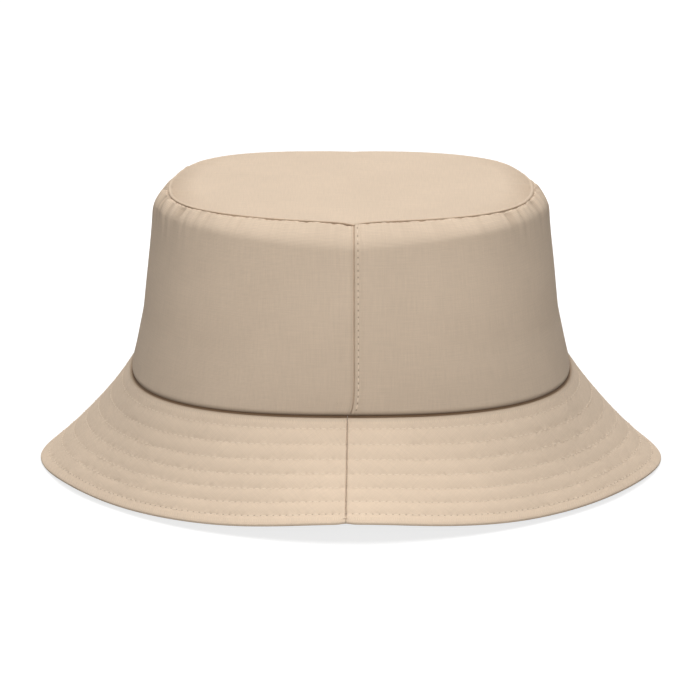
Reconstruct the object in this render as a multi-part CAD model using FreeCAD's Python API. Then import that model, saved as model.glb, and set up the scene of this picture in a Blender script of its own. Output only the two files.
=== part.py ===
"""A bucket hat in stitched cotton: an oval tip, a crown wall in two panels, and a sloping brim.

Millimetres. +Z is up, the wearer faces -Y, and X runs from side to side. The origin lies under the
middle of the hat, level with the lowest point of the brim.

Every piece of cloth, tape and thread is a thin layer that follows one of two surfaces: the outer face
of the crown's wall, or the top face of the brim. A layer is told where it starts and ends round the
hat (its turn, in degrees from the back of the hat towards +X), along the surface (its rows), and how
deep it lies behind the surface.
"""
import FreeCAD, Part
import math
import os

from FreeCAD import Vector

# Crown: the oval where wall meets brim (the crease), and the smaller oval where wall meets tip.
crease_half_length = 103.0
crease_half_width = 85.0
crease_squareness = 2.6
tip_half_length = 84.4
tip_half_width = 67.4
tip_squareness = 2.6
crown_height = 86.0

# The wall swells into a shoulder under the tip and flares out again at its foot.
shoulder_swell = 7.2
shoulder_depth = 15.4
foot_flare = 3.8
foot_height = 28.0
foot_power = 1.2

# Brim: how far its edge stands out past the crease and below it. The edge rises at the side seams.
brim_reach_ends = 43.0
brim_reach_sides = 39.5
brim_edge_squareness = 1.82
brim_drop = 45.0
brim_side_lift = 7.0
brim_side_lift_power = 10
brim_sag = 3.6
brim_width = math.hypot(brim_reach_ends, brim_drop)

# Cloth, tape and thread.
wall_cloth = 0.9
tip_cloth = 0.9
brim_cloth = 0.8
interlining_cloth = 0.8
tape_cloth = 0.5
sweatband_cloth = 1.2
thread_width = 0.5
thread_height = 0.3
ply_gap = 0.1
seam_gap = 0.3

# Seams and rows of stitching.
stitch_rows = 7
first_row = 0.10
last_row = 0.90
seam_stitch_offset = 2.0
seam_stitch_foot = 8.0
tip_lip = 0.5
sweatband_height = 28.0
sweatband_stitch_inset = 2.5
foot_tape_height = 12.0
tip_tape_height = 8.0
tip_tape_drop = 3.0
side_tape_width = 12.0

# Size label, sewn across its top edge to the back of the sweatband.
label_width = 30.0
label_length = 18.0
label_cloth = 0.4
label_sewn_height = 4.0
label_top_inset = 1.0
label_hinge_gap = 0.8
label_clearance = 0.3

# How finely the surfaces are drawn.
columns_per_half = 41
rows_per_panel = 9
rows_per_wall = 31
probe = 0.01


def mix(first, second, share):
    """The value a share of the way from first to second."""
    return first + (second - first) * share


def oval_point(half_length, half_width, squareness, turn):
    """A point of a squared-off oval, seen from its middle at this turn in degrees."""
    y = math.cos(math.radians(turn))
    x = math.sin(math.radians(turn))
    reach = abs(y / half_length) ** squareness + abs(x / half_width) ** squareness
    radius = reach ** (-1 / squareness)
    return Vector(radius * x, radius * y, 0)


def wall_surface(turn, height):
    """The outer face of the crown's wall, this high above the crease."""
    share = height / crown_height
    flare = foot_flare * max(0, 1 - height / foot_height) ** foot_power
    tuck = shoulder_swell * max(0, 1 - (crown_height - height) / shoulder_depth) ** 2
    half_length = mix(crease_half_length - foot_flare, tip_half_length + shoulder_swell, share)
    half_width = mix(crease_half_width - foot_flare, tip_half_width + shoulder_swell, share)
    squareness = mix(crease_squareness, tip_squareness, share)
    point = oval_point(half_length + flare - tuck, half_width + flare - tuck, squareness, turn)
    return Vector(point.x, point.y, height)


def brim_surface(turn, share):
    """The top face of the brim, at this share of the way from the crease to the edge."""
    crease = oval_point(crease_half_length, crease_half_width, crease_squareness, turn)
    edge = oval_point(crease_half_length + brim_reach_ends, crease_half_width + brim_reach_sides,
                      brim_edge_squareness, turn)
    sideways = abs(math.sin(math.radians(turn))) ** brim_side_lift_power
    drop = (brim_drop - brim_side_lift * sideways) * share + brim_sag * 4 * share * (1 - share)
    return crease + (edge - crease) * share - Vector(0, 0, drop)


def behind(surface, turn, row, depth):
    """The point this deep behind a surface. A negative depth lies in front of it."""
    along = surface(turn + probe, row) - surface(turn - probe, row)
    up = surface(turn, row + probe) - surface(turn, row - probe)
    inward = along.cross(up).normalize()
    if inward.dot(surface(turn, row)) > 0:
        inward = -inward
    return surface(turn, row) + inward * depth


def steps(first, last, count):
    """Evenly spaced values from first to last."""
    return [mix(first, last, index / (count - 1)) for index in range(count)]


def skin(points):
    """A smooth surface through a grid of points."""
    surface = Part.BSplineSurface()
    surface.interpolate(points)
    return surface


def rims(surface):
    """The four edges round a surface."""
    start, end, low, high = surface.bounds()
    curves = (surface.uIso(start), surface.uIso(end), surface.vIso(low), surface.vIso(high))
    return [curve.toShape() for curve in curves]


def layer(surface, turns, rows, depths, columns=columns_per_half, lines=rows_per_panel):
    """A solid layer of cloth between two turns, two rows and two depths of a surface."""
    sides = []
    for depth in depths:
        grid = [[behind(surface, turn, row, depth) for row in steps(*rows, lines)]
                for turn in steps(*turns, columns)]
        sides.append(skin(grid))
    faces = [side.toShape() for side in sides]
    for outer, inner in zip(rims(sides[0]), rims(sides[1])):
        faces.append(Part.makeRuledSurface(outer, inner))
    shell = Part.makeCompound(faces)
    shell.sewShape()
    solid = Part.makeSolid(shell.Shells[0])
    if solid.Volume < 0:
        solid.reverse()
    return solid


def turn_for(distance):
    """The turn, in degrees, that covers this distance at the crown's side."""
    return math.degrees(distance / crease_half_width)


def front_and_back(name, surface, rows, depths, lines):
    """Two panels of cloth that meet at the side seams."""
    gap = turn_for(seam_gap / 2)
    return {
        name + "_front": [layer(surface, (90 + gap, 270 - gap), rows, depths, lines=lines)],
        name + "_back": [layer(surface, (-90 + gap, 90 - gap), rows, depths, lines=lines)],
    }


def ring(surface, rows, depths, start, lines=2):
    """A layer that goes right round the hat, from just past its start to just short of it."""
    gap = turn_for(seam_gap / 2)
    first = layer(surface, (start + gap, start + 180), rows, depths, lines=lines)
    second = layer(surface, (start + 180, start + 360 - gap), rows, depths, lines=lines)
    return first.fuse(second).Solids[0]


def stacked(*plies):
    """The depths of the plies behind a surface, outermost first, each a gap from the last."""
    depths = []
    front = 0
    for thickness in plies:
        depths.append((front, front + thickness))
        front += thickness + ply_gap
    return depths


def thread_over(depth):
    """The depths of a thread that lies on the outer face of a layer that starts at this depth."""
    return depth - ply_gap - thread_height, depth - ply_gap


def thread_under(depth):
    """The depths of a thread that lies on the inner face of a layer that ends at this depth."""
    return depth + ply_gap, depth + ply_gap + thread_height


wall_depths, tape_depths, sweatband_depths = stacked(wall_cloth, tape_cloth, sweatband_cloth)
upper_depths, interlining_depths, under_depths = stacked(brim_cloth, interlining_cloth, brim_cloth)


def crown_tip():
    """The flat oval panel on top, whose edge stands out over the wall as a narrow lip."""
    edge = [oval_point(tip_half_length + tip_lip, tip_half_width + tip_lip, tip_squareness, turn)
            for turn in steps(0, 360, 4 * columns_per_half + 1)[:-1]]
    curve = Part.BSplineCurve()
    curve.interpolate(Points=edge, PeriodicFlag=True)
    panel = Part.Face(Part.Wire(curve.toShape())).extrude(Vector(0, 0, tip_cloth))
    panel.translate(Vector(0, 0, crown_height + ply_gap))
    return {"crown_tip": [panel]}


def sidewall():
    """The crown's wall, a front and a back panel."""
    rows = (seam_gap, crown_height)
    return front_and_back("sidewall", wall_surface, rows, wall_depths, rows_per_wall)


def brim():
    """The brim's three plies, each a front and a back panel: top cloth, stiffener and under cloth."""
    panels = {}
    rows = (seam_gap / brim_width, 1)
    for name, depths in (("brim_upper", upper_depths),
                         ("brim_interlining", interlining_depths),
                         ("brim_under", under_depths)):
        panels.update(front_and_back(name, brim_surface, rows, depths, rows_per_panel))
    return panels


def brim_stitching():
    """Rows of stitching round the brim: a thread on top and a thread underneath for each row."""
    rows = {}
    half = thread_width / 2 / brim_width
    for index, share in enumerate(steps(first_row, last_row, stitch_rows)):
        span = (share - half, share + half)
        rows["brim_stitch_row_%d" % (index + 1)] = [
            ring(brim_surface, span, thread_over(upper_depths[0]), 90),
            ring(brim_surface, span, thread_under(under_depths[1]), 90),
        ]
    return rows


def seam_tapes():
    """Tapes that bind the seams inside the crown: at its foot, under its tip and down both sides."""
    tip_rows = (crown_height - tip_tape_drop - tip_tape_height, crown_height - tip_tape_drop)
    side_rows = (foot_tape_height + seam_gap, tip_rows[0] - seam_gap)
    foot_rows = (seam_gap, foot_tape_height)
    half = turn_for(side_tape_width / 2)
    tapes = {
        "foot_seam_tape": [ring(wall_surface, foot_rows, tape_depths, 0, rows_per_panel)],
        "tip_seam_tape": [ring(wall_surface, tip_rows, tape_depths, 0, rows_per_panel)],
    }
    for name, turn in (("right", 270), ("left", 90)):
        tape = layer(wall_surface, (turn - half, turn + half), side_rows, tape_depths, 5, rows_per_wall)
        tapes["side_seam_tape_" + name] = [tape]
    return tapes


def crown_stitching():
    """A thread round the tip seam, and a row of stitches beside each side seam of the wall."""
    tip_row = (crown_height - thread_width * 2, crown_height - thread_width)
    outer_depths = thread_over(wall_depths[0])
    inner_depths = thread_under(tape_depths[1])
    half = turn_for(thread_width / 2)
    offset = turn_for(seam_stitch_offset)
    outer_rows = (seam_stitch_foot, tip_row[0] - thread_width)
    inner_rows = (sweatband_height + seam_gap, crown_height - tip_tape_drop - tip_tape_height - seam_gap)
    threads = {"tip_seam_stitch": [ring(wall_surface, tip_row, outer_depths, 90)]}
    for name, turn in (("right", 270 + offset), ("left", 90 - offset)):
        turns = (turn - half, turn + half)
        threads["side_seam_stitch_" + name] = [
            layer(wall_surface, turns, outer_rows, outer_depths, 2, rows_per_wall),
            layer(wall_surface, turns, inner_rows, inner_depths, 2, rows_per_wall),
        ]
    return threads


def sweatband():
    """A band of folded cotton round the inside of the crown's foot, joined at the back and stitched."""
    rows = (seam_gap, sweatband_height)
    half = thread_width / 2
    threads = []
    depths = thread_under(sweatband_depths[1])
    for row in (sweatband_stitch_inset, sweatband_height - sweatband_stitch_inset):
        threads.append(ring(wall_surface, (row - half, row + half), depths, 90))
    return {
        "sweatband": [ring(wall_surface, rows, sweatband_depths, 0, rows_per_panel)],
        "sweatband_stitch": threads,
    }


def label():
    """A blank size label at the back: its sewn top edge, and the flap that swings below it."""
    top = sweatband_height - sweatband_stitch_inset - thread_width - label_top_inset
    hinge = top - label_sewn_height - label_hinge_gap / 2
    band_back = behind(wall_surface, 0, top, sweatband_depths[1]).y
    corner_turn = math.degrees(math.atan2(label_width / 2, band_back))
    face = behind(wall_surface, corner_turn, top, sweatband_depths[1]).y - label_clearance

    print("label hinge, from the crease: y %.3f, z %.3f" % (face - label_cloth / 2, hinge))
    pieces = {}
    for name, low, height in (("label_sewn_edge", hinge + label_hinge_gap / 2, label_sewn_height),
                              ("label_flap", hinge - label_hinge_gap / 2 - label_length, label_length)):
        corner = Vector(-label_width / 2, face - label_cloth, low)
        pieces[name] = [Part.makeBox(label_width, label_cloth, height, corner)]
    return pieces


def main():
    """Make every piece, set the hat down on the lowest point of its brim, and write the files."""
    nodes = {}
    for make in (crown_tip, sidewall, brim, brim_stitching, seam_tapes, crown_stitching, sweatband,
                 label):
        nodes.update(make())
    floor = min(solid.BoundBox.ZMin for solids in nodes.values() for solid in solids)
    print("crease stands %.3f above the ground" % -floor)
    os.makedirs("parts", exist_ok=True)
    for name, solids in nodes.items():
        shape = solids[0] if len(solids) == 1 else Part.makeCompound(solids)
        shape.translate(Vector(0, 0, -floor))
        shape.exportStep("parts/%s.step" % name)
    print(len(nodes), "nodes written")


main()
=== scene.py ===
# %% [markdown]
# # A bucket hat in stitched cotton
# The hat is cut from seven panels of cotton canvas: an oval tip, a crown wall in two halves, and a
# brim of a top cloth and an under cloth in two halves each, with a stiffener between them. Seven rows
# of stitching run round the brim. Inside are tapes over the seams, a sweatband and a blank size label.
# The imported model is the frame: every piece here follows the same surfaces as its solids do.

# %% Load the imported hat
import bisect
import math

import bmesh
import bpy
from mathutils import Matrix, Vector, noise


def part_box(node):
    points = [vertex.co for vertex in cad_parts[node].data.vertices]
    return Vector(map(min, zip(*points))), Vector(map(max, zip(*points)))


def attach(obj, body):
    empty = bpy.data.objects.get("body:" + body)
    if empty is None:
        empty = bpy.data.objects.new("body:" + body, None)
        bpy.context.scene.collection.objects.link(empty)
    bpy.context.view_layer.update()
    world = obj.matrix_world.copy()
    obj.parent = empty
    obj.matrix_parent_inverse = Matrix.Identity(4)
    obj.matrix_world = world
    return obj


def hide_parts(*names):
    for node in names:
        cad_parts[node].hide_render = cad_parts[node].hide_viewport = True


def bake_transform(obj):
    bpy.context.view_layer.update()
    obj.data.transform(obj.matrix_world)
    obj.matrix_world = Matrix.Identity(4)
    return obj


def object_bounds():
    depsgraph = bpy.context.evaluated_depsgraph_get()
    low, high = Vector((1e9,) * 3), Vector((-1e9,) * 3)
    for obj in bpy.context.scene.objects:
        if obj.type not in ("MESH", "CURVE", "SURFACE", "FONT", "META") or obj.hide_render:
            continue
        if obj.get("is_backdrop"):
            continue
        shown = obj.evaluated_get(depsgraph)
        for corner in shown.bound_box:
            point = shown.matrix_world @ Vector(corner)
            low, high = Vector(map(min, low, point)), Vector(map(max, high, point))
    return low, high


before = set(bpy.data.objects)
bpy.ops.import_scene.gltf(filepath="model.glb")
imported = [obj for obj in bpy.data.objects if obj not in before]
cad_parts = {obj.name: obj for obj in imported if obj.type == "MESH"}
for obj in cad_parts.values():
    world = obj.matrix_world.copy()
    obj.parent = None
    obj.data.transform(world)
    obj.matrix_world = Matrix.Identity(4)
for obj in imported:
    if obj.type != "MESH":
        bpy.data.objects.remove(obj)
cad_box = [list(corner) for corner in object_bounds()]

# %% [markdown]
# ## Setting out
# A hat is drafted from a few ovals. The crease is the oval where the wall meets the brim, the tip seam
# is the smaller oval where the wall meets the tip, and the brim's edge is the largest. A place on the
# hat is given by its turn, in degrees from the back towards the wearer's left, and by how far up the
# wall or down the brim it lies. All sizes are in metres.

# %% Sizes of the hat
mm = 0.001
crease_half_length, crease_half_width, crease_squareness = 103.0 * mm, 85.0 * mm, 2.6
tip_half_length, tip_half_width, tip_squareness = 84.4 * mm, 67.4 * mm, 2.6
crown_height = 86.0 * mm
shoulder_swell = 7.2 * mm
foot_flare, foot_height, foot_power = 3.8 * mm, 28.0 * mm, 1.2
brim_reach_ends, brim_reach_sides, brim_edge_squareness = 43.0 * mm, 39.5 * mm, 1.82
brim_drop, brim_side_lift, brim_side_lift_power, brim_sag = 45.0 * mm, 7.0 * mm, 10, 3.6 * mm
wall_cloth, tip_cloth, brim_cloth, tape_cloth = 0.9 * mm, 0.9 * mm, 0.8 * mm, 0.5 * mm
ply_gap = 0.1 * mm
brim_thickness = 3 * brim_cloth + 2 * ply_gap
brim_width, brim_cut_width = math.hypot(brim_reach_ends, brim_drop), 57 * mm
stitch_rows, first_row, last_row = 7, 0.10, 0.90
row_spacing = (last_row - first_row) / (stitch_rows - 1)
stitch_pitch, edge_stitch_offset, edge_stitch_spacing = 3.0 * mm, 2 * mm, 20 * mm
tip_seam_shift = 1.5 * mm
slack_corner = 197
crease_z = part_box("crown_tip")[0].z - crown_height - ply_gap
print("the crease stands %.1f mm above the ground" % (crease_z / mm))


# %% The wall's and the brim's surfaces
def mix(first, second, share):
    return first + (second - first) * share


def ease(low, high, value):
    """0 below low, 1 above high, and a smooth step between them."""
    share = min(1, max(0, (value - low) / (high - low)))
    return share * share * (3 - 2 * share)


def bell(value, width):
    return math.exp(-(value / width) ** 2)


def ripple(*place):
    """A smooth irregular wave, between -1 and 1, at a place given by three numbers."""
    return noise.noise(Vector(place))


def towards_ends(turn):
    """1 at the front and the back of the hat, and nought at its side seams."""
    return abs(math.cos(math.radians(turn)))


def oval_point(half_length, half_width, squareness, turn):
    """A point of a squared-off oval, seen from its middle at this turn in degrees."""
    y = math.cos(math.radians(turn))
    x = math.sin(math.radians(turn))
    radius = (abs(y / half_length) ** squareness + abs(x / half_width) ** squareness) ** (-1 / squareness)
    return Vector((radius * x, radius * y, 0))


def from_side_seam(turn):
    """How far round a place is from the nearer side seam, in metres. Towards the back is positive."""
    offset = (turn % 180) - 90
    return -math.radians(offset) * crease_half_width * (1 if turn % 360 < 180 else -1)


def seam_lean(turn, lean):
    """The turn of a place once the side seam near it has been sewn this far towards the back."""
    sideways = math.sin(math.radians(turn))
    return turn - math.degrees(lean / crease_half_width) * sideways * abs(sideways) ** 40


def turn_bell(turn, middle, width):
    """1 at a turn and at its mirror image across the side seams, dying away on both sides."""
    apart = [abs((turn - place + 180) % 360 - 180) for place in (middle, 180 - middle)]
    return bell(min(apart), width)


def shoulder(turn):
    """How far the shoulder swells out and how deep it is: full at the seams and ends, tighter between."""
    swell = shoulder_swell * (1 - 0.4 * turn_bell(turn, 153, 20))
    middle = max(turn_bell(turn, 90, 30), turn_bell(turn, 270, 30))
    return swell, (7.4 + 4.6 * middle + 10 * turn_bell(turn, 192, 14)) * mm


def wall_surface(turn, height):
    """The outer face of the crown's wall, this high above the crease."""
    share = height / crown_height
    ends = towards_ends(turn) ** 1.5
    flare = foot_flare * ends * max(0, 1 - height / foot_height) ** foot_power
    swell, depth = shoulder(turn)
    tuck = swell * max(0, 1 - (crown_height - height) / depth) ** 2
    half_length = mix(crease_half_length - foot_flare * ends, tip_half_length + swell, share)
    half_width = mix(crease_half_width - foot_flare * ends, tip_half_width + swell, share)
    squareness = mix(crease_squareness, tip_squareness, share)
    turn = seam_lean(turn, tip_seam_shift - 2.4 * mm * math.exp(-max(0, height) / (4 * mm)))
    point = oval_point(half_length + flare - tuck, half_width + flare - tuck, squareness, turn)
    point.z = crease_z + height + (rim_lift(turn) - seam_dip(turn)) * max(0, share) ** 6
    return point


def rim_lift(turn):
    """The crown settles crooked: its rim stands up at the front left and rolls down at two corners."""
    front_left = 0.5 + 0.5 * math.cos(math.radians(turn - 150))
    quarters = math.sin(math.radians(2 * turn)) ** 2
    rolled = 0.6 * turn_bell(turn, 172, 12) - 1.5 * turn_bell(turn, slack_corner, 10)
    return (-0.2 + 0.7 * math.sin(math.radians(turn)) + 1.2 * quarters * front_left + rolled) * mm


def seam_dip(turn):
    """The tip seam is pulled down where a side seam runs into it, mostly on the wearer's left."""
    pull = 1.7 * mm if turn % 360 < 180 else 0.3 * mm
    return pull * math.exp(-abs(from_side_seam(turn)) / (7 * mm))


def brim_surface(turn, share):
    """The top face of the brim, at this share of the way from the crease to the edge."""
    sideways = abs(math.sin(math.radians(turn))) ** brim_side_lift_power
    ends = towards_ends(turn)
    sag = mix(2.2 * mm, brim_sag, ends ** 2)
    share *= 1 + mix(-1.5 * mm, 1.5 * mm, ends ** 40) / brim_width
    turn = seam_lean(turn, -1.6 * mm)
    crease = oval_point(crease_half_length, crease_half_width, crease_squareness, turn)
    edge = oval_point(crease_half_length + brim_reach_ends, crease_half_width + brim_reach_sides,
                      brim_edge_squareness, turn)
    drop = (brim_drop - brim_side_lift * sideways) * share + sag * 4 * share * (1 - share)
    return crease + (edge - crease) * share + Vector((0, 0, crease_z - drop))


def outward(surface, turn, row, step):
    """The direction that a surface faces, away from the head."""
    round_it = surface(turn - 0.05, row) - surface(turn + 0.05, row)
    along = surface(turn, row + step) - surface(turn, row - step)
    facing = round_it.cross(along).normalized()
    return facing if surface is wall_surface else -facing


def wall_facing(turn, height):
    return outward(wall_surface, turn, height, 0.1 * mm)


def brim_facing(turn, share):
    return outward(brim_surface, turn, share, 0.002)


arc_start, arc_steps = 90, 720


def arc_lengths(surface, row):
    """Distances round a surface from the left side seam, one for each half degree."""
    lengths = [0]
    last = surface(arc_start, row)
    for index in range(1, arc_steps + 1):
        point = surface(arc_start + index * 360 / arc_steps, row)
        lengths.append(lengths[-1] + (point - last).length)
        last = point
    return lengths


def turn_at(lengths, distance):
    """The turn where this distance from the left side seam is reached."""
    index = min(arc_steps - 1, bisect.bisect_right(lengths, distance) - 1)
    share = (distance - lengths[index]) / (lengths[index + 1] - lengths[index])
    return arc_start + (index + share) * 360 / arc_steps


def arc_share(lengths, turn):
    """How much of the way round has been covered at this turn, as a share."""
    place = ((turn - arc_start) % 360) / 360 * arc_steps
    index = min(arc_steps - 1, int(place))
    return mix(lengths[index], lengths[index + 1], place - index) / lengths[-1]


wall_arc = arc_lengths(wall_surface, crown_height / 2)
crease_arc = arc_lengths(wall_surface, 0)
tip_arc = arc_lengths(wall_surface, crown_height)
edge_arc = arc_lengths(brim_surface, 1)
print("round the crease %.0f mm, the tip seam %.0f mm, the brim's edge %.0f mm"
      % tuple(arc[-1] / mm for arc in (crease_arc, tip_arc, edge_arc)))

# %% [markdown]
# ## How sewn canvas moves
# Smooth surfaces look like plastic. Canvas sinks where a seam or a row of stitching pulls it down,
# swells between them, and gathers in short puckers across the stitches. Each effect below is a height
# in metres, added along the direction the cloth faces. A cloth simulation would blur the narrow
# channels, so the heights are written down from what stitching does.


# %% Relief of the brim
channel_depth, pad_height, pucker_height, gather_height = 0.24 * mm, 0.22 * mm, 0.16 * mm, 0.14 * mm
pucker_girth = 760 * mm


def nearest_row(share):
    """The number of the nearest row of stitching, counted from nought."""
    return min(stitch_rows - 1, max(0, round((share - first_row) / row_spacing)))


def broad_waves(point, height):
    return height * noise.noise(point * 22 + Vector((3, 5, 7)))


def brim_relief(turn, share, side=1):
    """Channels at the stitching, puckers across it and a ditch at the side seams."""
    row = nearest_row(share)
    apart = (share - first_row - row * row_spacing) * brim_width
    arc = arc_share(edge_arc, turn) * pucker_girth
    channel = -channel_depth * math.exp(-abs(apart) / (1.2 * mm))
    pad = pad_height * math.sin(min(1, abs(apart) / (row_spacing * brim_width)) * math.pi) ** 2
    pucker = ripple(arc / (1.7 * mm), apart / (6 * mm), 11.5 * row + 31 * side)
    gather = ripple(arc / (7 * mm), apart / (9 * mm), 5.5 * row + 47 * side)
    near_row = math.exp(-abs(apart) / (2.6 * mm))
    fading = 1 - 0.7 * towards_ends(turn) ** 2
    seam = from_side_seam(turn)
    ditch = -0.6 * mm * bell(seam, 0.26 * mm) + 0.16 * mm * bell(abs(seam) - 1.0 * mm, 0.7 * mm)
    height = (channel + pad) * fading + ditch
    height += (pucker_height * pucker + gather_height * gather) * near_row
    crease_tuck = 1.0 * mm * ease(0.014, 0.004, share)
    return height * ease(0, 0.02, share) * ease(1.0, 0.93, share) - crease_tuck


def brim_painted_shade(turn, share):
    """How much painted shade darkens the brim's side seams and the crease here, from 0 to 1."""
    patchy = 0.5 + 0.5 * ripple(share * brim_width / (3 * mm), 1.5, turn / 90)
    # painted shade in the side seam's ditch, uneven along it
    side_seam = patchy * bell(from_side_seam(turn), 0.24 * mm)
    # and a painted shade line along the crease
    return max(side_seam, 0.9 * bell(max(0, share) * brim_width, 0.75 * mm))


# %% Relief of the wall
seam_ridge, crease_roll = 0.45 * mm, 1.7 * mm


def gathers(turn, below):
    """Small pleats where the wall is eased into the tip seam, mostly round the front and back."""
    arc = arc_share(wall_arc, turn) * wall_arc[-1]
    ends = towards_ends(turn) ** 1.5
    fan = ripple(arc / (3.0 * mm), below / (30 * mm), 3.3)
    fold = ripple(arc / (9 * mm), below / (40 * mm), 8.1)
    strength = (0.12 + 0.88 * ends ** 2) * (1 - 0.85 * turn_bell(turn, slack_corner, 14))
    return (3.0 * fan + 1.8 * fold) * strength * math.exp(-below / (5.5 * mm)) * ease(0, 2 * mm, below)


def wall_relief(turn, height):
    """A tuck at the crease and under the tip, shoulder puckers, and the pressed side seams."""
    below = crown_height - height
    puckers = gathers(turn, below) * mm
    seam = from_side_seam(turn)
    ditch = -0.4 * mm * bell(seam, 0.3 * mm)
    ridge = seam_ridge * ease(0.2 * mm, 0.9 * mm, seam) * ease(4.6 * mm, 3.0 * mm, seam)
    pressed = -0.2 * mm * bell(seam - edge_stitch_offset, 0.5 * mm)
    foot_roll = max(0, 1 - height / (3.4 * mm)) ** 3
    gap = 0.75 + 0.6 * ripple(turn / 2.1, 1.9, 6.5)
    tuck = -gap * mm * ease(1.2 * mm, 0.3 * mm, below) - crease_roll * foot_roll
    seams = ditch + (ridge + pressed) * ease(0, 1 * mm, below)
    return (puckers + seams) * ease(0, 2 * mm, height) + tuck


def wall_painted_shade(turn, height):
    """How much painted shade darkens the crown's seams, the line under the tip, the crease and the hollows
    of its gathers here, from 0 to 1.
    """
    seam = from_side_seam(turn)
    patchy = 0.36 + 0.3 * ripple(height / (4 * mm), 2.5, turn / 90)
    below = crown_height - height
    # painted shade in the line under the tip's lip, darker at the ends and uneven along it
    lip_shade = 0.1 + 0.22 * towards_ends(turn) ** 4 + 0.3 * ripple(turn / 1.7, 7.5, 1.5)
    # painted shade in the side seam's ditch and beside the pressed ridge
    side_seam = max(patchy * bell(seam, 0.26 * mm), 0.12 * bell(seam + 0.9 * mm, 0.7 * mm))
    # painted shade in the hollows between the gathers
    hollows = min(0.25, -0.35 * gathers(turn, below))
    return max(side_seam, hollows, lip_shade * bell(below, 1.05 * mm), 0.85 * bell(height, 0.9 * mm))


# %% [markdown]
# ## Laying a panel
# A panel starts as one flat grid. Its columns become turns round the hat and its rows become heights up
# the wall or shares of the brim, closer together where a seam needs them. Two UV maps go with it. One
# is the flat cut in metres, so the weave runs straight and even as it does in a cut panel. The other
# counts stitches along each row, for the painted shade of the needle holes. Each point also carries
# how much painted shade darkens its colour in the seams.


# %% Grids, rulers and flat cuts
def ruler(*runs):
    """Places along a line, from runs of (start, end, step)."""
    places = []
    for start, end, step in runs:
        count = max(1, round(abs(end - start) / step))
        places += [mix(start, end, index / count) for index in range(count)]
    return places + [runs[-1][1]]


def no_shade(turn, row):
    return 0.0


def no_holes(turn, row):
    return (0.5, 0.5)


def laid_grid(columns, rows, place, cut, holes=no_holes, shade=no_shade):
    """A grid of cloth with its points put in place, its two UV maps and the painted shade in its seams."""
    bm = bmesh.new()
    painted_shade = bm.verts.layers.float.new("painted_shade")
    weave = bm.loops.layers.uv.new("weave")
    needle = bm.loops.layers.uv.new("stitches")
    bmesh.ops.create_grid(bm, x_segments=len(columns) - 1, y_segments=len(rows) - 1, size=1)
    spots = {}
    for vertex in bm.verts:
        column = columns[round((vertex.co.x + 1) / 2 * (len(columns) - 1))]
        row = rows[round((vertex.co.y + 1) / 2 * (len(rows) - 1))]
        spots[vertex] = (cut(column, row), holes(column, row))
        # painted shade: how much the colour is darkened here, where seams, crease and folds lie in shade
        vertex[painted_shade] = shade(column, row)
        vertex.co = place(column, row)
    for face in bm.faces:
        face.smooth = True
        for loop in face.loops:
            loop[weave].uv, loop[needle].uv = spots[loop.vert]
    return bm


def strip_cut(turn, height):
    return (arc_share(wall_arc, turn) * wall_arc[-1], height)


brim_spread = (edge_arc[-1] - crease_arc[-1]) / brim_cut_width
brim_radius = crease_arc[-1] / brim_spread


def brim_cut(turn, share):
    """Where a place lies on a brim panel cut flat: a piece of a ring, with the grain down its middle."""
    middle = 0.25 if 0 < (turn - arc_start) % 360 < 180 else 0.75
    angle = (arc_share(edge_arc, turn) - middle) * brim_spread
    reach = brim_radius + share * brim_cut_width
    return (reach * math.sin(angle), reach * math.cos(angle))


def thicken(bm, thickness):
    """Gives a laid grid its thickness: a copy of it is moved back and joined to it round the edge."""
    bm.normal_update()
    made = bmesh.ops.extrude_face_region(bm, geom=bm.faces[:], use_keep_orig=True)
    for item in made["geom"]:
        if isinstance(item, bmesh.types.BMVert):
            item.co -= item.normal * thickness
    bmesh.ops.recalc_face_normals(bm, faces=bm.faces[:])
    if bm.calc_volume(signed=True) < 0:
        bmesh.ops.reverse_faces(bm, faces=bm.faces[:])


def mesh_from(name, bm):
    mesh = bpy.data.meshes.new(name)
    bm.to_mesh(mesh)
    bm.free()
    return mesh


def into_scene(name, data):
    """A new object in the scene, at the origin, for a mesh, a lamp or a camera."""
    made = bpy.data.objects.new(name, data)
    bpy.context.scene.collection.objects.link(made)
    return made


def finish_piece(name, bm, material, nodes, body="hat"):
    """Turns a bmesh into a piece that rides on a body and stands for its CAD nodes."""
    mesh = mesh_from(name, bm)
    mesh.set_sharp_from_angle(angle=math.radians(50))
    mesh.materials.append(material)
    piece = into_scene(name, mesh)
    if body:
        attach(piece, body)
    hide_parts(*nodes)
    print(name, "has", len(mesh.polygons), "faces")
    return piece


# %% [markdown]
# ## Cloth, tape and thread
# Canvas is a plain weave: each thread passes over one and under the next. A sine along each direction
# gives the round threads, and the sign of their product says which one is on top. The weave, the
# tone with its painted shade, the painted shade of the needle holes, the puckers and the painted shade
# at the crease are node groups, because several materials share them.


# %% Helpers for shader nodes
def colour(red, green, blue):
    """A colour as it is seen on screen, from 0 to 255, in the linear values that shaders work with."""
    shares = [value / 255 for value in (red, green, blue)]
    return [s / 12.92 if s <= 0.04045 else ((s + 0.055) / 1.055) ** 2.4 for s in shares] + [1]


def put(tree, socket, value):
    """Sets a socket to a number or a colour, or wires another socket into it."""
    if isinstance(value, bpy.types.NodeSocket):
        tree.links.new(value, socket)
    else:
        socket.default_value = value


def put_all(tree, node, values):
    """Sets or wires a node's inputs, by name."""
    for label, value in values.items():
        put(tree, node.inputs[label], value)


def new_node(tree, kind, *values, **settings):
    """A new node, with its settings by name and its first inputs in their order."""
    node = tree.nodes.new("ShaderNode" + kind)
    for label, value in settings.items():
        setattr(node, label, value)
    for socket, value in zip(node.inputs, values):
        put(tree, socket, value)
    return node


def sum_up(tree, operation, *values, clamp=False):
    """The result of a Math node."""
    return new_node(tree, "Math", *values, operation=operation, use_clamp=clamp).outputs[0]


def times(tree, first, second):
    return sum_up(tree, "MULTIPLY", first, second)


def parts_of(tree, vector):
    """The X, Y and Z of a vector, by name."""
    return new_node(tree, "SeparateXYZ", vector).outputs


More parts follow.
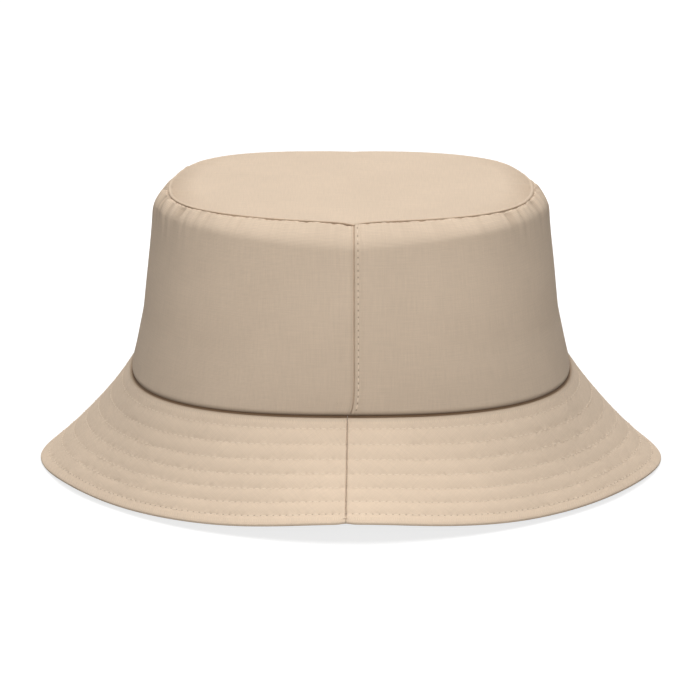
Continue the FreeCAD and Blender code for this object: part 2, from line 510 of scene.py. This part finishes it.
def new_group(name, inputs, outputs):
    """An empty node group. A socket named Vector or Color is one, and any other is a number."""
    tree = bpy.data.node_groups.new(name, "ShaderNodeTree")
    for way, labels in (("INPUT", inputs), ("OUTPUT", outputs)):
        for label in labels:
            kind = label if label in ("Vector", "Color") else "Float"
            tree.interface.new_socket(name=label, in_out=way, socket_type="NodeSocket" + kind)
    return tree, tree.nodes.new("NodeGroupInput").outputs, tree.nodes.new("NodeGroupOutput").inputs


def noise_in(tree, vector, scale, detail=2.0):
    """The value of a noise texture."""
    node = new_node(tree, "TexNoise", vector)
    put_all(tree, node, {"Scale": scale, "Detail": detail})
    return node.outputs["Fac"]


def stretched(tree, vector, scale):
    """A vector with each of its directions scaled by its own amount."""
    node = new_node(tree, "Mapping", vector)
    put_all(tree, node, {"Scale": scale})
    return node.outputs["Vector"]


# %% The weaves
def weave_group(name, slant):
    """Round threads crossing. A slant of nought is a plain weave, and one makes twill's ribs."""
    tree, given, result = new_group(name, ["Vector", "Threads"], ["Height", "Slub"])
    place = parts_of(tree, given["Vector"])
    turns = times(tree, given["Threads"], math.pi)
    along = times(tree, place["X"], turns)
    across = times(tree, place["Y"], turns)
    across = sum_up(tree, "ADD", across, times(tree, along, slant))
    warp = sum_up(tree, "SINE", along)
    weft = sum_up(tree, "SINE", across)
    over = times(tree, times(tree, warp, weft), 2.5)
    over = sum_up(tree, "MAXIMUM", sum_up(tree, "MINIMUM", over, 1.0), -1.0)
    lift = times(tree, over, 0.4)
    warp = times(tree, sum_up(tree, "ABSOLUTE", warp), sum_up(tree, "ADD", lift, 0.6))
    weft = times(tree, sum_up(tree, "ABSOLUTE", weft), sum_up(tree, "SUBTRACT", 0.6, lift))
    put(tree, result["Height"], sum_up(tree, "MAXIMUM", warp, weft))
    down, round_it = (noise_in(tree, stretched(tree, given["Vector"], scale), 1.0)
                      for scale in ((1900, 90, 1), (90, 1900, 1)))
    put(tree, result["Slub"], times(tree, sum_up(tree, "ADD", down, round_it), 0.5))
    return tree


plain_weave = weave_group("plain_weave", 0.0)
twill_weave = weave_group("twill_weave", 1.0)


# %% Tone and needle holes
def tone_and_shade_group():
    """A cloth's own colour, a little uneven: slubs in the threads, painted shade in the gaps, slow
    patches.
    """
    tree, given, result = new_group("tone_and_painted_shade", ["Vector", "Color", "Height", "Slub", "Holes", "Dust",
                                                   "Seam", "Unevenness"], ["Color"])
    patches = noise_in(tree, given["Vector"], 28.0, 3.0)
    wear = sum_up(tree, "ADD", sum_up(tree, "SUBTRACT", given["Slub"], 0.5),
                  times(tree, sum_up(tree, "SUBTRACT", patches, 0.5), 0.5))
    shade = sum_up(tree, "MULTIPLY_ADD", wear, given["Unevenness"], 0.91)
    # painted shade of the weave: the threads' tops lighter and the gaps between them darker
    shade = sum_up(tree, "MULTIPLY_ADD", given["Height"], 0.12, shade)
    # painted shade near the crease
    shade = times(tree, shade, sum_up(tree, "MULTIPLY_ADD", given["Dust"], -1.0, 1.0))
    lit = new_node(tree, "VectorMath", given["Color"], operation="SCALE")
    put(tree, lit.inputs["Scale"], shade)
    # painted shade in the seams and needle holes, which darkens the colour towards brown
    deep = new_node(tree, "VectorMath",
                    sum_up(tree, "MULTIPLY_ADD", given["Holes"], 0.5, given["Seam"], clamp=True),
                    (-0.74, -0.82, -0.89), (1, 1, 1), operation="MULTIPLY_ADD")
    seam_and_hole_shaded = new_node(tree, "VectorMath", lit.outputs[0], deep.outputs[0], operation="MULTIPLY")
    put(tree, result["Color"], seam_and_hole_shaded.outputs[0])
    return tree


def hole_shade_group():
    """Painted shade of a needle hole: a dark prick at each end of a stitch, where a map counts stitches
    along and rows across.
    """
    tree, given, result = new_group("needle_hole_shade", ["Vector", "Pitch", "Spacing", "Size"], ["Mask"])
    place = parts_of(tree, given["Vector"])
    apart = []
    for axis, scale in (("X", given["Pitch"]), ("Y", given["Spacing"])):
        near = sum_up(tree, "SUBTRACT", place[axis], sum_up(tree, "ROUND", place[axis]))
        apart.append(times(tree, sum_up(tree, "ABSOLUTE", near), scale))
    squares = [times(tree, value, value) for value in apart]
    distance = sum_up(tree, "SQRT", sum_up(tree, "ADD", *squares))
    share = sum_up(tree, "DIVIDE", distance, given["Size"])
    put(tree, result["Mask"], sum_up(tree, "SUBTRACT", 1.5, share, clamp=True))
    return tree


def pucker_group():
    """Fine creases across a row of stitching, a few to each stitch, that die away on both sides."""
    tree, given, result = new_group("stitch_puckers", ["Vector", "Spacing"], ["Height"])
    place = parts_of(tree, given["Vector"])
    row = sum_up(tree, "ROUND", place["Y"])
    apart = sum_up(tree, "ABSOLUTE", sum_up(tree, "SUBTRACT", place["Y"], row))
    share = times(tree, times(tree, apart, given["Spacing"]), 1 / (3.4 * mm))
    near = sum_up(tree, "SUBTRACT", 1.0, share, clamp=True)
    spot = new_node(tree, "CombineXYZ", times(tree, place["X"], 1.25),
                    times(tree, place["Y"], 1.6), times(tree, row, 7.7))
    creases = sum_up(tree, "SUBTRACT", noise_in(tree, spot.outputs[0], 1.0, 1.5), 0.5)
    put(tree, result["Height"], times(tree, creases, times(tree, near, near)))
    return tree


def crease_shade_group():
    """Painted shade on both sides of the crease, and a softer painted shade up the lower wall, by height
    above the ground.
    """
    tree, given, result = new_group("crease_painted_shade", ["Vector", "Crease"], ["Mask"])
    above = sum_up(tree, "SUBTRACT", parts_of(tree, given["Vector"])["Z"], given["Crease"])
    slow = sum_up(tree, "SUBTRACT", 1.0, times(tree, above, 1 / (52 * mm)), clamp=True)
    near = times(tree, sum_up(tree, "ABSOLUTE", above), 1 / (2.2 * mm))
    close = sum_up(tree, "SUBTRACT", 1.0, near, clamp=True)
    # painted shade that fades up the lower wall, on the wall's side of the crease only
    wall_only = times(tree, sum_up(tree, "GREATER_THAN", above, 0.0), 0.17)
    soft = times(tree, sum_up(tree, "POWER", slow, 1.3), wall_only)
    put(tree, result["Mask"], sum_up(tree, "MULTIPLY_ADD", close, 0.25, soft))
    return tree


tone_and_painted_shade = tone_and_shade_group()
crease_painted_shade = crease_shade_group()
needle_hole_shade = hole_shade_group()
stitch_puckers = pucker_group()


# %% Cloth materials
def uv_map(tree, name):
    return new_node(tree, "UVMap", uv_map=name).outputs["UV"]


def placed_group(tree, group, **values):
    """A node group in a material, with its inputs set by name."""
    node = new_node(tree, "Group", node_tree=group)
    put_all(tree, node, values)
    return node.outputs


def bump_from(tree, height, distance, strength=1.0):
    """A Bump node that raises the surface by this height."""
    node = new_node(tree, "Bump")
    put_all(tree, node, {"Height": height, "Distance": distance, "Strength": strength})
    return node


def new_finish(name, roughness, specular):
    """A new material, its nodes, and its shader set to this roughness and gloss."""
    material = bpy.data.materials.new(name)
    material.use_nodes = True
    tree = material.node_tree
    shader = tree.nodes["Principled BSDF"]
    put_all(tree, shader, {"Roughness": roughness, "Specular IOR Level": specular})
    return material, tree, shader


def cloth_material(name, shade, weave, thread_size, depth, holes=None, crease_shaded=False, unevenness=0.24,
                   sheen=0.06):
    """A woven cloth: its colour, its weave as bump, and painted shade in its needle holes, seams and
    crease.
    """
    material, tree, shader = new_finish(name, 0.9, 0.2)
    put_all(tree, shader, {"Sheen Weight": sheen, "Sheen Roughness": 0.6})
    flat = uv_map(tree, "weave")
    threads = placed_group(tree, weave, Vector=flat, Threads=1 / thread_size)
    bump = bump_from(tree, threads["Height"], depth, 0.8)
    hole_shade = crease_shade = 0.0
    if holes:
        # least and most: how dark the painted shade of the holes is at the first row of stitching and the
        # last
        pitch, spacing, least, most = holes
        counted = uv_map(tree, "stitches")
        hole_shade = placed_group(tree, needle_hole_shade, Vector=counted, Pitch=pitch, Spacing=spacing,
                               Size=0.33 * mm)["Mask"]
        edgeward = sum_up(tree, "DIVIDE", parts_of(tree, counted)["Y"], stitch_rows - 1.0)
        strength = sum_up(tree, "MULTIPLY_ADD", sum_up(tree, "POWER", edgeward, 6.0), most - least, least)
        hole_shade = times(tree, hole_shade, strength)
        puckers = placed_group(tree, stitch_puckers, Vector=counted, Spacing=spacing)["Height"]
        put(tree, bump.inputs["Normal"], bump_from(tree, puckers, 0.9 * mm).outputs["Normal"])
    if crease_shaded:
        # painted shade along the crease and up the lower wall
        place = new_node(tree, "TexCoord").outputs["Object"]
        crease_shade = placed_group(tree, crease_painted_shade, Vector=place, Crease=crease_z)["Mask"]
    # the painted shade of the seams and the crease, carried by each panel
    seam = new_node(tree, "Attribute", attribute_name="painted_shade").outputs["Fac"]
    toned = placed_group(tree, tone_and_painted_shade, Vector=flat, Color=colour(*shade), Height=threads["Height"],
                         Slub=threads["Slub"], Holes=hole_shade, Dust=crease_shade, Seam=seam, Unevenness=unevenness)
    put_all(tree, shader, {"Base Color": toned["Color"], "Normal": bump.outputs["Normal"]})
    return material


canvas_shade = (233, 211, 187)
crown_canvas = cloth_material("crown_canvas", canvas_shade, plain_weave, 0.55 * mm, 0.12 * mm,
                              holes=(stitch_pitch, edge_stitch_spacing, 1.0, 1.0), crease_shaded=True)
brim_canvas = cloth_material("brim_canvas", canvas_shade, plain_weave, 0.55 * mm, 0.12 * mm,
                             holes=(stitch_pitch, row_spacing * brim_width, 0.2, 1.0), crease_shaded=True)
stiffener = cloth_material("stiffener_felt", (226, 222, 214), plain_weave, 0.9 * mm, 0.05 * mm)
band_twill = cloth_material("sweatband_twill", (228, 206, 181), twill_weave, 0.7 * mm, 0.12 * mm)
tape_twill = cloth_material("tape_twill", (230, 209, 186), twill_weave, 0.5 * mm, 0.08 * mm)
label_satin = cloth_material("label_satin", (244, 240, 232), twill_weave, 0.3 * mm, 0.03 * mm,
                             unevenness=0.05, sheen=0.15)


def thread_material():
    """Sewing thread: fine plies that wind along each stitch, with painted highlight and shade along the
    twist.
    """
    material, tree, shader = new_finish("sewing_thread", 0.65, 0.3)
    plies = new_node(tree, "TexWave", uv_map(tree, "weave"), bands_direction="DIAGONAL")
    put_all(tree, plies, {"Scale": 2.0})
    # the plies' crowns painted lighter and the grooves between them darker: painted highlight and painted
    # shade
    ply_light_and_shade = new_node(tree, "ValToRGB", plies.outputs["Fac"])
    ply_light_and_shade.color_ramp.elements[0].color = colour(232, 210, 186)
    ply_light_and_shade.color_ramp.elements[1].color = colour(247, 230, 210)
    bump = bump_from(tree, plies.outputs["Fac"], 0.05 * mm)
    put_all(tree, shader, {"Base Color": ply_light_and_shade.outputs["Color"], "Normal": bump.outputs["Normal"]})
    return material


thread = thread_material()
print("materials:", [material.name for material in bpy.data.materials])

# %% [markdown]
# ## The crown's wall
# Two curved panels meet at the side seams. The seam allowances are pressed towards the back and
# edge-stitched there, so the back panel has a low ridge beside each seam. Columns stand close together
# near the seams, and rows close together at the shoulder and the crease.

# %% Wall panels
seam_half_gap = 0.015
seam_to_seam = ruler((90 + seam_half_gap, 90.9, 0.11), (90.9, 96, 0.3), (96, 264, 0.6),
                     (264, 269.1, 0.3), (269.1, 270 - seam_half_gap, 0.11))
wall_rows = ruler((0.1 * mm, 1.5 * mm, 0.2 * mm), (1.5 * mm, 4 * mm, 0.4 * mm),
                  (4 * mm, 66 * mm, 1.5 * mm), (66 * mm, 84 * mm, 0.6 * mm),
                  (84 * mm, crown_height, 0.2 * mm))
wall_wave = 0.8 * mm


def wall_point(turn, height, depth=0):
    """A point of the wall as it is sewn, this deep behind its outer face."""
    point = wall_surface(turn, height)
    waving = ease(0, 20 * mm, height) * ease(crown_height, 60 * mm, height)
    waves = broad_waves(point, wall_wave * waving)
    return point + wall_facing(turn, height) * (wall_relief(turn, height) + waves - depth)


def wall_holes(turn, height):
    apart = from_side_seam(turn) - edge_stitch_offset
    row = apart / edge_stitch_spacing if abs(apart) < 9 * mm else 0.5
    return (height / stitch_pitch, row)


for side, shift in (("front", 0), ("back", 180)):
    bm = laid_grid([turn + shift for turn in reversed(seam_to_seam)], wall_rows,
                   wall_point, strip_cut, wall_holes, wall_painted_shade)
    thicken(bm, wall_cloth)
    finish_piece("crown_wall_" + side, bm, crown_canvas,
                                    ["sidewall_" + side])

# %% [markdown]
# ## The tip
# The tip is one oval panel. Its seam allowances turn down inside, so its edge stands up as a narrow
# lip, with a shallow dip inside the lip and a slight dome in the middle. A square grid is eased into
# an oval, ring by ring, which leaves no pinched point in the centre.


# %% Tip panel
tip_rings = ruler((0, 2.4 * mm, 0.24 * mm), (2.4 * mm, 6 * mm, 0.6 * mm), (6 * mm, 16 * mm, 1.1 * mm),
                  (16 * mm, tip_half_width, 1.5 * mm))
tip_steps = [mix(-1, 1, index / (2 * len(tip_rings) - 2)) for index in range(2 * len(tip_rings) - 1)]
tip_lip = 0.25 * mm


def tip_place(x, y):
    """A place on a square grid, as its turn in degrees and how far inside the tip's rim it lies."""
    ring = max(abs(x), abs(y))
    inside = tip_rings[round((1 - ring) * (len(tip_rings) - 1))]
    if ring == 0:
        return 0.0, inside
    if abs(x) >= abs(y):
        angle = 45 * y / x + (0 if x > 0 else 180)
    else:
        angle = 90 - 45 * x / y + (0 if y > 0 else 180)
    return 90 - angle, inside


def tip_point(x, y):
    """A point of the tip, for a place on the square grid."""
    turn, inside = tip_place(x, y)
    arc = arc_share(tip_arc, turn) * tip_arc[-1]
    jag = ripple(arc / (1.6 * mm), 4.4, 9.2) * 0.22 * mm
    edge = oval_point(tip_half_length + tip_lip + jag, tip_half_width + tip_lip + jag, tip_squareness,
                      seam_lean(turn, tip_seam_shift))
    ends = towards_ends(turn) ** 2
    near = ease(-0.2, 0.3, math.sin(math.radians(turn)))
    roll = -0.6 * mm * ease(0.8 * mm, 0, inside)
    dip = -(0.2 + 0.9 * ends ** 3 * near) * mm
    dip *= ease(0.6 * mm, 2.0 * mm, inside) * max(0, 1 - inside / (13 * mm))
    folds = 2.4 * ripple(arc / (4 * mm), inside / (25 * mm), 2.2) * mm * (0.1 + 0.9 * ends ** 2)
    folds *= ease(0.5 * mm, 2.5 * mm, inside) * math.exp(-inside / (7 * mm))
    dome = 1.2 * mm * ease(0, tip_half_width, inside)
    cusp = (rim_lift(turn) - seam_dip(turn)) * math.exp(-inside / (4 * mm))
    point = edge * (1 - inside / tip_half_width)
    point.z = crease_z + crown_height + 0.2 * mm + roll + dip + folds + dome + cusp
    point.z += broad_waves(point, 0.4 * mm * ease(0, 20 * mm, inside))
    return point


def tip_cut(x, y):
    point = tip_point(x, y)
    return (point.x, point.y)


def tip_painted_shade(x, y):
    """Painted shade: a dark line at the tip's very rim, and a softer painted shade inside the rim at both
    ends.
    """
    turn, inside = tip_place(x, y)
    ends = towards_ends(turn) ** 6
    # painted shade inside the rim at both ends
    end_shade = 0.3 * ends * max(0, 1 - inside / (11 * mm)) * ease(0.5 * mm, 1.8 * mm, inside)
    return max(0.4 * bell(inside, 0.25 * mm), end_shade)


bm = laid_grid(tip_steps, tip_steps, tip_point, tip_cut, no_holes, tip_painted_shade)
thicken(bm, tip_cloth)
tip_piece = finish_piece("crown_top", bm, crown_canvas, ["crown_tip"])

# %% [markdown]
# ## The brim
# Top cloth and under cloth are sewn together at the edge and turned, so each rolls round the edge to
# meet the other. The stiffener lies between them. The rows of stitching go through all three, which is
# what makes the channels. Rows of the grid stand closest beside each row of stitching.

# %% Brim panels
half_thickness = brim_thickness / 2
edge_half_thickness = 0.9 * mm
roll_start = 1 - edge_half_thickness / brim_width
roll_steps = 6
brim_wave, lowest_z, felt_thickness = 1.1 * mm, 0.3 * mm, 0.3 * mm


def brim_point(turn, share, side=1):
    """A point of the brim: its top for side 1, its underside for side -1, its middle for side 0."""
    inner = min(share, roll_start)
    point = brim_surface(turn, inner)
    up = brim_facing(turn, inner)
    half = mix(half_thickness, edge_half_thickness, ease(0.86, 1, inner))
    notch = 0.6 * mm * bell(from_side_seam(turn), 2.0 * mm) * ease(0.8, 1, share)
    height = side * (half + brim_relief(turn, inner, side))
    middle = point + up * (broad_waves(point, brim_wave * ease(0, 0.3, share)) - half)
    along = (brim_surface(turn, 1) - point).normalized()
    angle = max(0, share - roll_start) / (1 - roll_start) * math.pi / 2
    rolled = middle + up * height * math.cos(angle) + along * (half * math.sin(angle) - notch)
    rolled.z = max(rolled.z, lowest_z)
    return rolled


row_shares = [first_row + row * row_spacing for row in range(stitch_rows)]
row_arcs = [arc_lengths(brim_surface, share) for share in row_shares]
row_counts = [round(arc[-1] / stitch_pitch) for arc in row_arcs]


def brim_holes(turn, share):
    row = nearest_row(share)
    across = min(stitch_rows - 0.55, max(-0.45, (share - first_row) / row_spacing))
    return (arc_share(row_arcs[row], turn) * row_counts[row], across)


def brim_rulers(beside):
    """Rows for a brim panel: its seam allowance, beside each row of stitching, and round the edge."""
    shares = [-0.030, -0.014, 0.2 * mm / brim_width, 0.012, 0.022, 0.034, 0.05]
    for middle in row_shares:
        shares += [middle + offset * mm / brim_width for offset in beside]
    shares += [0.955, 0.965, 0.974, 0.982]
    return shares + [mix(roll_start, 1, index / roll_steps) for index in range(roll_steps + 1)]


upper_columns = ruler((90 + seam_half_gap, 91, 0.09), (91, 95, 0.28), (95, 265, 0.42), (265, 269, 0.28),
                      (269, 270 - seam_half_gap, 0.09))
under_columns = ruler((90 + seam_half_gap, 95, 0.4), (95, 265, 0.8), (265, 270 - seam_half_gap, 0.4))
upper_rows = brim_rulers((-3.6, -2.6, -1.8, -1.1, -0.5, 0, 0.5, 1.1, 1.8, 2.6, 3.6))
under_rows = brim_rulers((-3.0, -1.6, -0.6, 0, 0.6, 1.6, 3.0))
core_rows = ruler((0.3 * mm / brim_width, roll_start, 0.022))
sewn_through = (brim_holes, brim_painted_shade)
# piece, CAD node, side, columns, rows, needle holes and painted shade, thickness, slot, material
brim_layers = (
    ("top", "upper", 1, upper_columns, upper_rows, sewn_through, brim_cloth, "cotton_canvas", brim_canvas),
    ("lining", "under", -1, under_columns[::-1], under_rows, sewn_through, brim_cloth, "cotton_canvas",
     brim_canvas),
    ("stiffener", "interlining", 0, under_columns, core_rows, (no_holes, no_shade), felt_thickness,
     "interlining", stiffener))

for half, shift in (("_front", 0), ("_back", 180)):
    for name, node, side, columns, rows, marks, thickness, slot, material in brim_layers:
        bm = laid_grid([turn + shift for turn in columns], rows,
                       lambda turn, share: brim_point(turn, share, side), brim_cut, *marks)
        thicken(bm, thickness)
        finish_piece("brim_" + name + half, bm, material, ["brim_" + node + half])

# %% [markdown]
# ## Stitches
# A lockstitch shows as a row of short plump threads that dive into the cloth at both ends. Each is a
# stretched sphere of a few dozen faces, laid along its row. The same row shows on both sides of the
# brim.


# %% Rows of stitches
def new_stitches():
    bm = bmesh.new()
    bm.loops.layers.uv.new("weave")
    return bm


stitch_halves = (0.28 * mm, 0.22 * mm, 1.05 * mm)


def plump_thread():
    """One stitch: a stretched sphere of a few dozen faces, lying along Z."""
    bm = new_stitches()
    bmesh.ops.create_uvsphere(bm, u_segments=6, v_segments=4, radius=1, calc_uvs=True,
                              matrix=Matrix.Diagonal((*stitch_halves, 1)))
    return mesh_from("one_stitch", bm)


one_stitch = plump_thread()


def add_stitch(bm, point, along, up):
    """One more stitch, centred on a point, along its row."""
    along = along.normalized()
    side = up.cross(along).normalized()
    turned = Matrix((side, along.cross(side), along)).transposed().to_4x4()
    placed = one_stitch.copy()
    placed.transform(Matrix.Translation(point) @ turned)
    bm.from_mesh(placed)
    bpy.data.meshes.remove(placed)


def round_row(bm, point_at, facing_at, arc, clear=0.0):
    """Stitches right round the hat, on the points that are given, but not this near a side seam."""
    count = round(arc[-1] / stitch_pitch)
    for index in range(count):
        turn = turn_at(arc, (index + 0.5) * arc[-1] / count)
        if abs(from_side_seam(turn)) >= clear:
            along = point_at(turn + 0.1) - point_at(turn - 0.1)
            up = facing_at(turn)
            add_stitch(bm, point_at(turn) + up * 0.03 * mm, along, up)
    return count


def finish_stitches(name, bm, nodes):
    for face in bm.faces:
        face.smooth = True
    return finish_piece(name, bm, thread, nodes)


for row, (share, arc) in enumerate(zip(row_shares, row_arcs), 1):
    bm = new_stitches()
    for side in (1, -1):
        made = round_row(bm, lambda turn: brim_point(turn, share, side),
                         lambda turn: side * brim_facing(turn, share), arc, clear=1.3 * mm)
    print("row", row, "has", made, "stitches on each side")
    finish_stitches("brim_stitches_%d" % row, bm, ["brim_stitch_row_%d" % row])

# %% Stitches of the crown
tip_ditch = crown_height - 0.75 * mm
bm = new_stitches()
round_row(bm, lambda turn: wall_point(turn, tip_ditch), lambda turn: wall_facing(turn, tip_ditch), tip_arc)
finish_stitches("tip_seam_stitches", bm, ["tip_seam_stitch"])

side_stitches, bare_low, bare_high = 28, 30 * mm, 74 * mm
edge_stitch_turn = math.degrees(edge_stitch_offset / crease_half_width)
tape_depth, tape_clearance = wall_cloth + ply_gap + tape_cloth, 0.45 * mm
for name, turn in (("left", 90 - edge_stitch_turn), ("right", 270 + edge_stitch_turn)):
    bm = new_stitches()
    for index in range(1, side_stitches):
        height = (index + 0.5) * stitch_pitch
        along = wall_point(turn, height + 0.5 * mm) - wall_point(turn, height - 0.5 * mm)
        up = wall_facing(turn, height)
        add_stitch(bm, wall_point(turn, height) + up * 0.12 * mm, along, up)
        if bare_low < height < bare_high:
            on_tape = wall_point(turn, height, tape_depth + tape_clearance) - up * 0.05 * mm
            add_stitch(bm, on_tape, along, -up)
    finish_stitches("side_seam_stitches_" + name, bm, ["side_seam_stitch_" + name])

# %% [markdown]
# ## Inside the crown
# Cotton tapes cover the raw seams, and a folded twill band goes round the foot of the crown, where it
# touches the head. Each is a strip laid on the wall's own surface, a little way behind it, so it
# follows every swell of the wall. The faces that show are the inner ones, so they are laid first.

# %% Tapes over the seams
tape_width, side_tape_heights = 12 * mm, (12.3 * mm, 74.7 * mm)


def lining_point(turn, height):
    """A point on the inner face of a tape that lies against the wall, clear of its gathers higher up."""
    return wall_point(turn, height, tape_depth + tape_clearance * ease(12 * mm, 16 * mm, height))


def across_seam(turn):
    """Columns for a tape that lies over a side seam."""
    half = math.degrees(tape_width / 2 / crease_half_width)
    return ruler((turn - half, turn + half, 0.5))


around = ruler((0.1, 359.9, 0.6))
for name, node, turns, heights in (
        ("foot_tape", "foot_seam_tape", around, (0.3 * mm, tape_width)),
        ("tip_tape", "tip_seam_tape", around, (75 * mm, 83 * mm)),
        ("side_tape_left", "side_seam_tape_left", across_seam(90), side_tape_heights),
        ("side_tape_right", "side_seam_tape_right", across_seam(270), side_tape_heights)):
    bm = laid_grid(turns, ruler((*heights, 1.2 * mm)), lining_point, strip_cut)
    thicken(bm, tape_cloth)
    finish_piece(name, bm, tape_twill, [node])

# %% Sweatband
band_thickness, band_height, band_inset = 1.2 * mm, 28 * mm, 2.5 * mm
band_depth, band_clearance = tape_depth + ply_gap + band_thickness, 0.3 * mm


def band_point(turn, height):
    """A point on the inner face of the sweatband, rounded at its folded edges."""
    from_edge = min(height, band_height - height)
    fold = 0.55 * mm * (1 - math.sqrt(1 - max(0, 1 - from_edge / (0.7 * mm)) ** 2))
    from_row = abs(from_edge - band_inset)
    arc = arc_share(wall_arc, turn) * wall_arc[-1]
    gather = ripple(arc / (5 * mm), height / (14 * mm), 6.6)
    off_label = abs((turn + 180) % 360 - 180)
    flat = ease(8, 12, off_label)
    swell = (0.18 * gather * flat - 0.3 * math.exp(-from_row / (1.0 * mm))) * mm
    point = wall_surface(turn, height)
    waves = broad_waves(point, wall_wave * flat * ease(0, 20 * mm, height))
    return point + wall_facing(turn, height) * (waves - band_depth + fold - swell)


band_rows = ruler((0, 1 * mm, 0.15 * mm), (1 * mm, 4.5 * mm, 0.5 * mm), (4.5 * mm, 23.5 * mm, 1.6 * mm),
                  (23.5 * mm, 27 * mm, 0.5 * mm), (27 * mm, band_height, 0.15 * mm))
band_rows = [height + band_clearance * (1 - height / band_height) for height in band_rows]
bm = laid_grid(ruler((0.1, 359.9, 0.75)), band_rows, band_point, strip_cut)
thicken(bm, band_thickness - band_clearance)
band_piece = finish_piece("sweatband_twill", bm, band_twill, ["sweatband"])

label_low, label_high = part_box("label_sewn_edge")
bm = new_stitches()
for height in (band_inset, band_height - band_inset):
    round_row(bm, lambda turn: band_point(turn, height), lambda turn: -wall_facing(turn, height),
              arc_lengths(wall_surface, height))
label_stitches = 10
for index in range(label_stitches):
    place = Vector((mix(label_low.x, label_high.x, (index + 0.5) / label_stitches),
                    label_low.y - 0.05 * mm, mix(label_low.z, label_high.z, 0.6)))
    add_stitch(bm, place, Vector((1, 0, 0)), Vector((0, -1, 0)))
finish_stitches("sweatband_stitches", bm, ["sweatband_stitch"])

# %% [markdown]
# ## The size label
# A blank strip of satin ribbon, sewn across its top to the back of the sweatband. Below the stitching
# it hangs free. It is one piece of cloth, which rides on no body.

# %% Label
flap_low, flap_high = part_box("label_flap")
hem_top, ribbon_thickness = flap_low.z + 2 * mm, 0.3 * mm
label_columns = ruler((label_low.x, label_high.x, 1 * mm))
label_rows = ruler((flap_low.z, hem_top, 0.25 * mm), (hem_top, flap_high.z, 0.9 * mm),
                   (flap_high.z, label_low.z, 0.1 * mm), (label_low.z, label_high.z, 0.4 * mm))


def label_point(x, z):
    """A point of the label's face. Its hem is a little thicker, and its free end curls slightly."""
    hanging = ease(flap_high.z, flap_low.z, z)
    hem = 0.12 * mm * ease(hem_top, hem_top - 0.4 * mm, z)
    curl = 0.5 * mm * hanging * (x / label_high.x) ** 2
    pull = 0.06 * mm * math.cos(x / (3 * mm) * 2 * math.pi) * ease(flap_high.z, label_low.z, z)
    return Vector((x, label_low.y - hem - curl - pull, z))


def label_cut(x, z):
    return (x, z)


bm = laid_grid(label_columns, label_rows, label_point, label_cut)
thicken(bm, ribbon_thickness)
label_piece = finish_piece("size_label", bm, label_satin, ["label_sewn_edge", "label_flap"],
                           body=None)
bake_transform(label_piece)

# %% [markdown]
# ## What was cut from cloth
# Every panel here is a sheet that was cut flat before it was sewn.
# The wall and the brim are cut as pieces of a ring, whose size comes from the lengths of both edges.


# %% [markdown]
# ## Floor, light and camera
# A big soft lamp straight overhead makes the top and the brim brightest. A round softbox in front fills
# the wall, a weaker one stands behind, and the pale room gives the rest. The floor looks white to the
# camera but still takes the hat's shadow. The camera looks at the hat's left side from a little above,
# through a long lens, which keeps the shapes true.

# %% Floor
def grey(level):
    return (level, level, level, 1)


bm = bmesh.new()
bmesh.ops.create_grid(bm, x_segments=1, y_segments=1, size=9,
                      matrix=Matrix.Translation((0, 0, -0.4 * mm)))
floor = into_scene("floor", mesh_from("floor", bm))
floor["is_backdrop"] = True
paper = bpy.data.materials.new("white_paper")
paper.use_nodes = True
tree = paper.node_tree
tree.nodes.clear()
dull = new_node(tree, "BsdfDiffuse", grey(0.35))
glow = new_node(tree, "Emission", grey(0.78))
shadowed = new_node(tree, "BsdfDiffuse", grey(0.34))
both = new_node(tree, "AddShader", glow.outputs[0], shadowed.outputs[0])
seen = new_node(tree, "LightPath").outputs["Is Camera Ray"]
choice = new_node(tree, "MixShader", seen, dull.outputs[0], both.outputs[0])
new_node(tree, "OutputMaterial", choice.outputs[0])
floor.data.materials.append(paper)

# %% Light
overhead_level, overhead_spread = 0.87, math.radians(60)
lamp = into_scene("overhead_lamp", bpy.data.lights.new("overhead_lamp", "SUN"))
lamp.data.energy = overhead_level * math.pi
lamp.data.angle = overhead_spread
softbox_away, softbox_height, softbox_tilt = 0.55, 0.14, math.radians(84.5)


def softbox(name, side, watts):
    """A round soft lamp at the height of the crown, half a metre in front of the hat or behind it."""
    lamp = into_scene(name, bpy.data.lights.new(name, "AREA"))
    lamp.data.shape = "DISK"
    lamp.data.size = 0.25
    lamp.data.energy = watts
    lamp.location = (softbox_away * side, 0, softbox_height)
    lamp.rotation_euler = (0, softbox_tilt * side, 0)
    lamp.visible_camera = False
    print(name, "at", watts, "watts")


softbox("front_softbox", 1, 0.76)
softbox("back_softbox", -1, 0.45)

room_level = 0.10
world = bpy.data.worlds.new("pale_room")
bpy.context.scene.world = world
world.use_nodes = True
tree = world.node_tree
tree.nodes.clear()
room = new_node(tree, "Background", (1.0, 0.96, 0.89, 1), room_level)
white = new_node(tree, "Background", grey(1))
path = new_node(tree, "LightPath").outputs
direct = sum_up(tree, "MAXIMUM", path["Is Camera Ray"], path["Is Glossy Ray"])
direct = sum_up(tree, "MAXIMUM", direct, path["Is Transmission Ray"])
choice = new_node(tree, "MixShader", direct, room.outputs[0], white.outputs[0])
new_node(tree, "OutputWorld", choice.outputs[0])
bpy.context.scene.view_settings.view_transform = "Standard"

# %% Camera
camera_distance, camera_rise = 1.8858, math.radians(15.655)
pitch_below, aim_aside = math.radians(0.9935), math.radians(0.0142)
aim = Vector((0, 0, crease_z + 40 * mm))
camera = into_scene("camera", bpy.data.cameras.new("camera"))
camera.data.lens, camera.data.sensor_width = 207.6, 36
camera.location = aim + Vector((math.cos(camera_rise), 0, math.sin(camera_rise))) * camera_distance
looking = camera_rise + pitch_below
sight = Vector((-math.cos(looking) * math.cos(aim_aside), -math.sin(aim_aside), -math.sin(looking)))
camera.rotation_mode = "QUATERNION"
camera.rotation_quaternion = sight.to_track_quat("-Z", "Y")
bpy.context.scene.camera = camera

# %% Measure
visual_box = [list(corner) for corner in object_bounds()]
for name, box in (("CAD", cad_box), ("visual", visual_box)):
    print(name, "box", [[round(value / mm, 1) for value in corner] for corner in box])
